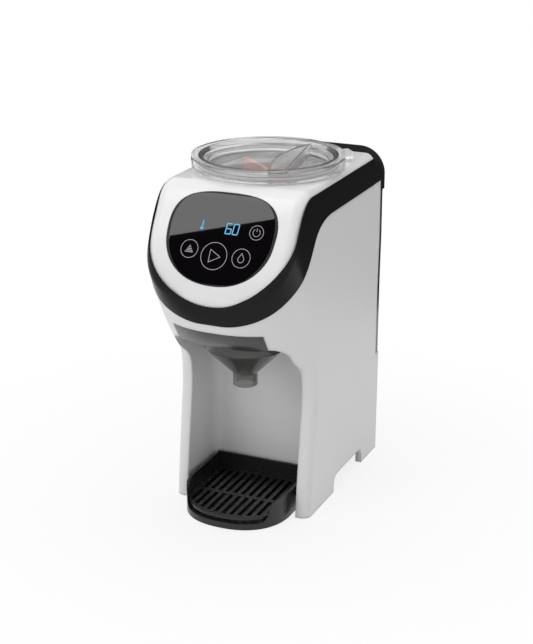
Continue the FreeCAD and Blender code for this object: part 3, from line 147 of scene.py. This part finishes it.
finishes = {
    "housing_white": plastic("housing_white", (0.78, 0.78, 0.78), 0.42, grain=1400, grain_height=0.03,
                             mottle=0.015, round_mm=4.0),
    "crown_white": plastic("crown_white", (0.82, 0.82, 0.82), 0.22, grain=700, grain_height=0.01,
                           mottle=0.01, coat=0.2, round_mm=1.0),
    "trim_black": plastic("trim_black", (0.011, 0.011, 0.012), 0.2, grain=500, grain_height=0.008,
                          specular=0.12, mottle=0.1, round_mm=0.8),
    "panel_glass": plastic("panel_glass", (0.003, 0.002, 0.003), 0.015, grain=150, grain_height=0.001,
                           smudge=0.005, round_mm=0),
    "smoke_clear": plastic("smoke_clear", (0.34, 0.335, 0.325), 0.18, grain=300, grain_height=0.01,
                           transmission=0.94, smudge=0.03, round_mm=0),
    "lid_clear": plastic("lid_clear", (0.98, 0.98, 0.98), 0.06, grain=200, grain_height=0.005,
                         transmission=0.9, ior=1.3, smudge=0.03, mottle=0.01, round_mm=0),
    "stirrer_coral": plastic("stirrer_coral", (0.86, 0.20, 0.12), 0.35),
    "wheel_white": plastic("wheel_white", (0.72, 0.72, 0.70), 0.4),
    "silicone": plastic("silicone", (0.66, 0.66, 0.64), 0.5, grain=600),
    "foot_rubber": plastic("foot_rubber", (0.03, 0.03, 0.03), 0.75, grain=800, grain_height=0.08),
    "inner_plastic": plastic("inner_plastic", (0.42, 0.43, 0.44), 0.5),
    "dark_plastic": plastic("dark_plastic", (0.014, 0.014, 0.015), 0.28, grain=900, specular=0.45),
    "gear_nylon": plastic("gear_nylon", (0.76, 0.74, 0.66), 0.4),
    "bush_bronze": plastic("bush_bronze", (0.55, 0.36, 0.16), 0.35, metallic=1.0),
    "steel": plastic("steel", (0.55, 0.55, 0.56), 0.3, metallic=1.0, stretch=(1, 1, 8)),
    "motor_steel": plastic("motor_steel", (0.42, 0.42, 0.44), 0.38, metallic=1.0, stretch=(1, 1, 6)),
    "heater_aluminium": plastic("heater_aluminium", (0.66, 0.67, 0.68), 0.42, metallic=1.0, grain=500,
                                grain_height=0.05),
    "hose_silicone": plastic("hose_silicone", (0.8, 0.8, 0.78), 0.35, transmission=0.5, round_mm=0),
    "board_green": plastic("board_green", (0.02, 0.12, 0.06), 0.35, grain=250),
    "display_black": plastic("display_black", (0.01, 0.01, 0.01), 0.3),
}
node_slots = {entry["node"]: entry["material_slot"] for entry in frame["record"]["subparts"]}
for name, piece in nodes.items():
    piece.data.materials.clear()
    piece.data.materials.append(finishes[node_slots[name]])
nodes["water_tank"].data.materials[0] = plastic(
    "smoke_tank", (0.22, 0.22, 0.22), 0.15, grain=300, grain_height=0.01, transmission=0.9, round_mm=0)

# ---------------------------------------------------------------- the panel's glass
# Lengths are in mm. u runs to the right and v up the face, from the middle of the panel's outline.
PANEL_HALF_WIDTH, PANEL_UPPER, PANEL_LOWER = 49.0, 35.4, 45.0
UPPER_ROUNDNESS, LOWER_ROUNDNESS = 2.8, 2.2
PANEL_THICKNESS = 1.75
EDGE_RADIUS = 0.3
LEDGE = 4.0
FACE_SLOPE = math.radians(58.6)
FACE_TOP = Vector((0, -70.8, 295.4))
UPPER_POWER, LOWER_POWER = 9, 6     # how fast the glass falls away above and below its middle

face_up = Vector((0, math.cos(FACE_SLOPE), math.sin(FACE_SLOPE)))
face_out = Vector((0, -math.sin(FACE_SLOPE), math.cos(FACE_SLOPE)))
face_centre = (FACE_TOP - face_up * PANEL_UPPER) * MM


def panel_outline(share, angle, inset=0.0):
    """A point in face coordinates at a share of the way out to the panel's outline."""
    c, s = math.cos(angle), math.sin(angle)
    power = 2 / (UPPER_ROUNDNESS if s > 0 else LOWER_ROUNDNESS)
    height = PANEL_UPPER if s > 0 else PANEL_LOWER
    return (share * math.copysign(abs(c) ** power, c) * (PANEL_HALF_WIDTH - inset),
            share * math.copysign(abs(s) ** power, s) * (height - inset))


def bulge_terms(v):
    """Terms of the smooth height of the glass over the face plane, and their slopes."""
    t = v / PANEL_LOWER
    above, below = max(0.0, t), max(0.0, -t)
    terms = [1.0, t ** 2, above ** UPPER_POWER, below ** LOWER_POWER]
    slopes = [0.0, 2 * t, UPPER_POWER * above ** (UPPER_POWER - 1), -LOWER_POWER * below ** (LOWER_POWER - 1)]
    return terms, [slope / PANEL_LOWER for slope in slopes]


def fit_bulge():
    """Fits the terms to the front of the CAD glass, from rays sent at it along rings of the outline."""
    tree = BVHTree.FromObject(nodes["control_glass"], bpy.context.evaluated_depsgraph_get())
    rings, steps, reach = 24, 72, 24.5
    rows, heights = [], []
    for i in range(1, rings + 1):
        for k in range(steps):
            u, v = panel_outline(i / reach, 2 * math.pi * (k + 0.5 * (i % 2)) / steps)
            start = face_centre + Vector((u * MM, 0, 0)) + face_up * v * MM + face_out * 0.03
            place = tree.ray_cast(start, -face_out)[0]
            rows.append(bulge_terms(v)[0])
            heights.append((place - face_centre).dot(face_out) / MM)
    return np.linalg.lstsq(np.array(rows), np.array(heights), rcond=None)[0]


bulge = fit_bulge()


def on_glass(u, v, depth=0.0):
    """The point at face coordinates (u, v) in mm, depth under the glass's front, and its normal."""
    terms, slopes = bulge_terms(v)
    height = float(np.dot(terms, bulge)) - depth
    place = face_centre + Vector((u * MM, 0, 0)) + (face_up * v + face_out * height) * MM
    return place, (face_out - face_up * float(np.dot(slopes, bulge))).normalized()


def panel_glass():
    """The glass of the panel with a smooth front, a rounded edge and a flat ledge behind."""
    steps, front_rings, front_inset = 120, 20, 0.6
    rows = [(i / front_rings, front_inset, 0.0) for i in range(1, front_rings + 1)]
    for angle in map(math.radians, (30, 60, 90)):
        rows.append((1, EDGE_RADIUS * (1 - math.sin(angle)), EDGE_RADIUS * (1 - math.cos(angle))))
    rows += [(1, 0.0, PANEL_THICKNESS), (1, LEDGE, PANEL_THICKNESS)]
    mesh = bmesh.new()
    rings = []
    for share, inset, depth in rows:
        outline = [panel_outline(share, 2 * math.pi * k / steps, inset) for k in range(steps)]
        rings.append([mesh.verts.new(on_glass(u, v, depth)[0]) for u, v in outline])
    front = mesh.verts.new(on_glass(0, 0)[0])
    rear = mesh.verts.new(on_glass(0, 0, PANEL_THICKNESS)[0])
    for k in range(steps):
        after = (k + 1) % steps
        mesh.faces.new((front, rings[0][k], rings[0][after]))
        mesh.faces.new((rear, rings[-1][after], rings[-1][k]))
        for inner, outer in zip(rings, rings[1:]):
            mesh.faces.new((inner[k], outer[k], outer[after], inner[after]))
    data = bpy.data.meshes.new("panel_front")
    mesh.to_mesh(data)
    data.polygons.foreach_set("use_smooth", [True] * len(data.polygons))
    data.set_sharp_from_angle(angle=math.radians(50))
    data.materials.append(finishes["panel_glass"])
    glass = add_object("panel_front", data)
    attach(glass, "housing")
    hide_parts("control_glass")


panel_glass()

# ---------------------------------------------------------------- prints on the glass
PRINT_LIFT = 0.04 * MM
THIN, BROAD = 0.45, 0.95


def ribbon(points, width, closed=False):
    """The two edges of a flat line of the given width through 2-D points."""
    count = len(points)
    first, second = [], []
    for i, (u, v) in enumerate(points):
        before = points[i - 1] if closed or i else points[i]
        after = points[(i + 1) % count] if closed or i < count - 1 else points[i]
        du, dv = after[0] - before[0], after[1] - before[1]
        length = math.hypot(du, dv) or 1
        nu, nv = -dv / length * width / 2, du / length * width / 2
        first.append((u + nu, v + nv))
        second.append((u - nu, v - nv))
    return first, second


def arc(u, v, radius, start, end, steps):
    """Points of an arc between two angles in degrees."""
    angles = [math.radians(start + (end - start) * i / steps) for i in range(steps + 1)]
    return [(u + radius * math.cos(a), v + radius * math.sin(a)) for a in angles]


def dense(points, step=0.8):
    """The line with extra points, so that it follows the curved glass."""
    out = []
    for (u0, v0), (u1, v1) in zip(points, points[1:]):
        count = max(1, math.ceil(math.hypot(u1 - u0, v1 - v0) / step))
        out += [(u0 + (u1 - u0) * i / count, v0 + (v1 - v0) * i / count) for i in range(count)]
    return out + [points[-1]]


def line(points, width, closed=False):
    first, second = ribbon(points, width, closed)
    return first, second, closed


def circle(u, v, radius):
    return line(arc(u, v, radius, 0, 360 - 360 / 64, 63), THIN, closed=True)


def disc(u, v, radius):
    outline = arc(u, v, radius, 90, 270, 16)
    return outline, [(2 * u - a, b) for a, b in outline], False


def print_mesh(name, strips, material):
    """A print on the glass made of quad strips between pairs of 2-D edges."""
    mesh = bmesh.new()
    for first, second, closed in strips:
        pairs = []
        for pair in zip(first, second):
            lifted = [on_glass(u, v) for u, v in pair]
            pairs.append([mesh.verts.new(place + normal * PRINT_LIFT) for place, normal in lifted])
        spans = list(zip(pairs, pairs[1:])) + ([(pairs[-1], pairs[0])] if closed else [])
        for (a0, b0), (a1, b1) in spans:
            mesh.faces.new((a0, b0, b1, a1))
    data = bpy.data.meshes.new(name)
    mesh.to_mesh(data)
    data.materials.append(material)
    printed = add_object(name, data)
    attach(printed, "housing")


cyan = (0.09, 0.40, 0.66)
print_white = plastic("print_white", (0.42, 0.42, 0.42), 0.5, grain=1500, mottle=0.02)
print_cyan = lit(plastic("print_cyan", cyan, 0.3, grain=1500, mottle=0.06), cyan, 0.25)

u, v = 31.1, 3.8
print_mesh("symbol_power", [
    circle(u, v, 6.1),
    line(arc(u, v, 3.2, 125, 415, 40), THIN),
    line(dense([(u, v + 0.8), (u, v + 3.9)]), THIN)], print_white)

u, v = -25.2, -16.4
heap = [circle(u, v, 7.7)]
for row in range(5):
    half = 3.6 - 0.75 * row
    height = v - 2.6 + 1.35 * row
    heap.append(line(dense([(u - half, height), (u + half, height)]), 0.62))
print_mesh("symbol_powder", heap, print_white)

u, v = -2.0, -20.0
corners = [(u - 4.0, v + 5.3), (u + 5.8, v - 0.2), (u - 4.0, v - 5.7), (u - 4.0, v + 5.3)]
sides = [line(dense([a, b]), 0.5) for a, b in zip(corners, corners[1:])]
print_mesh("symbol_start", [circle(u, v, 11.6)] + sides, print_white)

u, v = 22.4, -19.0
drop = arc(u, v - 1.1, 2.6, 150, 390, 30)
drop += [(u + 1.2, v + 2.2), (u, v + 4.2), (u - 1.2, v + 2.2)]
print_mesh("symbol_water", [circle(u, v, 8.0), line(dense(drop + drop[:1], 0.5), 0.5)], print_white)

u, v = -18.3, 5.0
print_mesh("display_thermometer", [
    disc(u, v - 2.4, 1.45),
    line(dense([(u, v - 2.0), (u + 0.5, v + 4.0)]), BROAD)], print_cyan)

DIGIT_WIDTH, DIGIT_HEIGHT, DIGIT_LEAN = 4.6, 8.8, 0.6
segments = {
    "a": ((0, 1), (1, 1)), "b": ((1, 1), (1, 0.5)), "c": ((1, 0.5), (1, 0)), "d": ((1, 0), (0, 0)),
    "e": ((0, 0), (0, 0.5)), "f": ((0, 0.5), (0, 1)), "g": ((0, 0.5), (1, 0.5))}


def digit(u, v, lit_segments):
    """The lit segments of a digit whose lower left corner is at (u, v)."""
    strips = []
    for key in lit_segments:
        ends = [(u + x * DIGIT_WIDTH + y * DIGIT_LEAN, v + y * DIGIT_HEIGHT) for x, y in segments[key]]
        strips.append(line(dense(ends), BROAD))
    return strips


print_mesh("display_digits", digit(3.3, 0.0, "acdefg") + digit(9.7, 0.0, "abcdef"), print_cyan)

# ---------------------------------------------------------------- stage and light
WORLD_LIGHT = 0.58
PAPER_COLOR = (0.9, 0.9, 0.9, 1)
SHADOW_RADIUS, CLEAR_RADIUS = 0.1, 0.45     # the floor turns from paper to background between these
SHADOW_GLOW = 0.82


def seen_or_mirrored(tree):
    """1 for what the camera sees, also in a mirror or through glass, and 0 for light on the object."""
    paths = tree.nodes.new("ShaderNodeLightPath")
    total = paths.outputs["Is Camera Ray"]
    for output in ("Is Glossy Ray", "Is Transmission Ray"):
        larger = tree.nodes.new("ShaderNodeMath")
        larger.operation = "MAXIMUM"
        tree.links.new(total, larger.inputs[0])
        tree.links.new(paths.outputs[output], larger.inputs[1])
        total = larger.outputs[0]
    return total


def unshaded(name):
    """A material without a shader, and its tree."""
    material = bpy.data.materials.new(name)
    material.use_nodes = True
    tree = material.node_tree
    tree.nodes.remove(tree.nodes["Principled BSDF"])
    return material, tree


world = bpy.data.worlds.new("studio")
scene.world = world
world.use_nodes = True
tree = world.node_tree
background = tree.nodes["Background"]
background.inputs["Color"].default_value = (1, 1, 1, 1)
strength = tree.nodes.new("ShaderNodeMapRange")
strength.inputs["To Min"].default_value = WORLD_LIGHT
strength.inputs["To Max"].default_value = 1.0
tree.links.new(seen_or_mirrored(tree), strength.inputs["Value"])
tree.links.new(strength.outputs["Result"], background.inputs["Strength"])

# the floor glows like the background, and keeps the shadow near the object
floor_material, tree = unshaded("floor_paper")
paper = tree.nodes.new("ShaderNodeBsdfDiffuse")
paper.inputs["Color"].default_value = PAPER_COLOR
glow = tree.nodes.new("ShaderNodeEmission")
glow.inputs["Strength"].default_value = 1.0
mixer = tree.nodes.new("ShaderNodeMixShader")
place = tree.nodes.new("ShaderNodeTexCoord")
distance = tree.nodes.new("ShaderNodeVectorMath")
distance.operation = "LENGTH"
fade = tree.nodes.new("ShaderNodeMapRange")
fade.interpolation_type = "SMOOTHSTEP"
fade.inputs["From Min"].default_value = SHADOW_RADIUS
fade.inputs["From Max"].default_value = CLEAR_RADIUS
fade.inputs["To Min"].default_value = SHADOW_GLOW
fade.inputs["To Max"].default_value = 1.0
share = tree.nodes.new("ShaderNodeMath")
share.operation = "MULTIPLY"
tree.links.new(place.outputs["Object"], distance.inputs[0])
tree.links.new(distance.outputs["Value"], fade.inputs["Value"])
tree.links.new(seen_or_mirrored(tree), share.inputs[0])
tree.links.new(fade.outputs["Result"], share.inputs[1])
tree.links.new(share.outputs[0], mixer.inputs["Fac"])
tree.links.new(paper.outputs[0], mixer.inputs[1])
tree.links.new(glow.outputs[0], mixer.inputs[2])
tree.links.new(mixer.outputs[0], tree.nodes["Material Output"].inputs["Surface"])

floor_mesh = bpy.data.meshes.new("floor")
floor_mesh.from_pydata([(-6, -6, 0), (6, -6, 0), (6, 6, 0), (-6, 6, 0)], [], [(0, 1, 2, 3)])
floor_mesh.materials.append(floor_material)
floor = add_object("floor", floor_mesh)


def softbox(name, place, target, size, watts):
    """A square lamp that no mirror shows."""
    light = bpy.data.lights.new(name, "AREA")
    light.shape = "SQUARE"
    light.size = size
    light.energy = watts
    lamp = add_object(name, light)
    lamp.location = place
    lamp.rotation_mode = "QUATERNION"
    lamp.rotation_quaternion = (Vector(target) - Vector(place)).to_track_quat("-Z", "Y")
    lamp.visible_glossy = False


softbox("key", (-0.9, -1.3, 1.1), (0, 0, 0.18), 1.0, 7)
softbox("top", (0.0, 0.1, 1.6), (0, 0, 0.2), 1.2, 8)


# ---------------------------------------------------------------- cards that only mirrors see
CARD_DISTANCE = 1.3                      # from the glass, along the mirrored look
EDGE_RISE, EDGE_SLANT = 5.1, 0.279       # the line on the glass where the pale card ends


def mirror_card(name, points, faces, strength):
    """A card that only mirrors see."""
    material, tree = unshaded(name)
    glow = tree.nodes.new("ShaderNodeEmission")
    glow.inputs["Strength"].default_value = strength
    tree.links.new(glow.outputs[0], tree.nodes["Material Output"].inputs["Surface"])
    mesh = bpy.data.meshes.new(name)
    mesh.from_pydata(points, [], faces)
    mesh.materials.append(material)
    card = add_object(name, mesh)
    card.visible_camera = False
    card.visible_diffuse = False
    card.visible_transmission = False
    card.visible_shadow = False


def mirror_point(u, v):
    """Where the camera's look at the glass at (u, v) lands after the mirror, on the card."""
    place, normal = on_glass(u, v)
    ray = (place - CAMERA_PLACE).normalized()
    return place + (ray - normal * 2 * ray.dot(normal)) * CARD_DISTANCE


# the panel mirrors a pale card above a slanting line and a black one below it
edge = [mirror_point(u, EDGE_RISE + EDGE_SLANT * u) for u in range(-48, 49, 8)]
edge.insert(0, edge[0] * 2 - edge[2])
edge.append(edge[-1] * 2 - edge[-3])
count = len(edge)
faces = [(i, i + 1, i + 1 + count, i + count) for i in range(count - 1)]
for name, v, stretch, strength in (("card_pale", 30, 2.5, 3.6), ("card_black", -40, 1.6, 0.02)):
    reach = (mirror_point(0, v) - mirror_point(0, EDGE_RISE)) * stretch
    mirror_card(name, edge + [point + reach for point in edge], faces, strength)

# the black trim mirrors a dark card behind the machine
mirror_card("card_dark", [(-0.9, 0.5, 0.0), (1.3, 0.5, 0.0), (1.3, 0.5, 0.65), (-0.9, 0.5, 0.65)],
            [(0, 1, 2, 3)], 0.05)

scene.view_settings.view_transform = "Standard"
